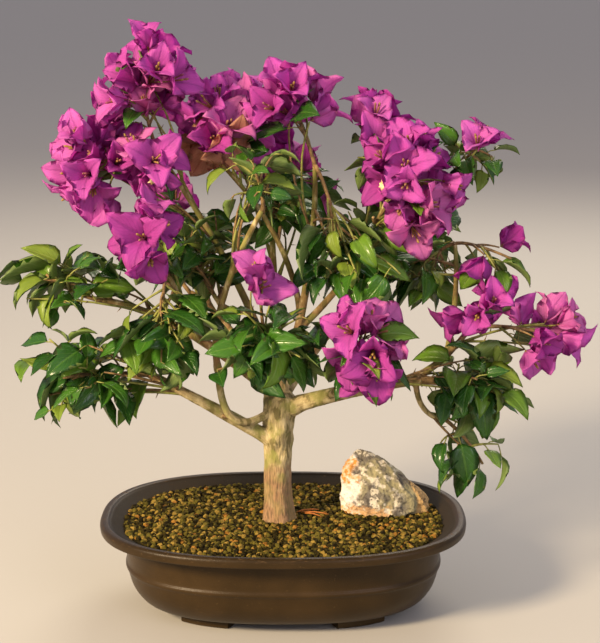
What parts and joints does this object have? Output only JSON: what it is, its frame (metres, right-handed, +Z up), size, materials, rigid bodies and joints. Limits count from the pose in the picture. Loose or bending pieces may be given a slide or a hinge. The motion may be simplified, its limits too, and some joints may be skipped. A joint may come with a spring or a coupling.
{
  "type": "bougainvillea bonsai",
  "caption": "Flowering bonsai in an oval brown pot: a short trunk forks into spreading boughs and leaders that carry drooping leaves and papery magenta blooms, with a rough stone on the soil.",
  "frame": {"origin": "on the floor, under the middle of the whole plant's box", "axes": "+Z up, +X to the viewer's right, +Y away from the viewer, across the plant's shallow side"},
  "size_m": [0.4882, 0.3114, 0.4841],
  "materials": {
    "pot": "semi-matte moulded brown, scuffed at the lip and the bead",
    "soil": "loose gritty grains, olive-black with tan ones",
    "rock": "rough, white and grey with rusty orange patches",
    "bark": "fissured tan bark",
    "foliage": "glossy dark green leaves, paler beneath",
    "bloom": "thin papery magenta bracts with fine veins"
  },
  "bodies": {
    "root": {"pot": "pot", "soil": "soil", "rock": "rock", "trunk": "bark", "left_low_bough": "bark", "right_bough": "bark", "left_high_bough": "bark", "centre_leader": "bark", "left_leader": "bark", "back_leader": "bark", "back_left_bough": "bark", "back_right_bough": "bark", "front_branch": "bark", "hook": "bark", "front_leader": "bark", "mid_leader": "bark", "right_leader": "bark", "right_top_fork": "bark", "left_fork": "bark", "inner_fork": "bark", "front_fork": "bark", "right_riser": "bark", "right_upright": "bark", "right_drop": "bark", "crest_left": "bloom", "left_shoulder": "bloom", "crest_mid_left": "bloom", "crest_mid": "bloom", "crest_right": "bloom", "right_shoulder": "bloom", "right_tip": "bloom", "right_reach": "bloom", "left_middle": "bloom", "front_bloom": "bloom", "mid_left_bloom": "bloom", "centre_bloom": "bloom", "back_mid": "bloom", "back_crest": "bloom", "right_top": "foliage", "right_mid": "foliage", "right_inner": "foliage", "right_pad": "foliage", "right_drop_leaves": "foliage", "centre_upper": "foliage", "inner_leaves": "foliage", "centre_front": "foliage", "left_inner": "foliage", "left_tip": "foliage", "left_upper": "foliage", "left_low": "foliage", "back_left": "foliage", "back_right": "foliage"}
  },
  "joints": []
}
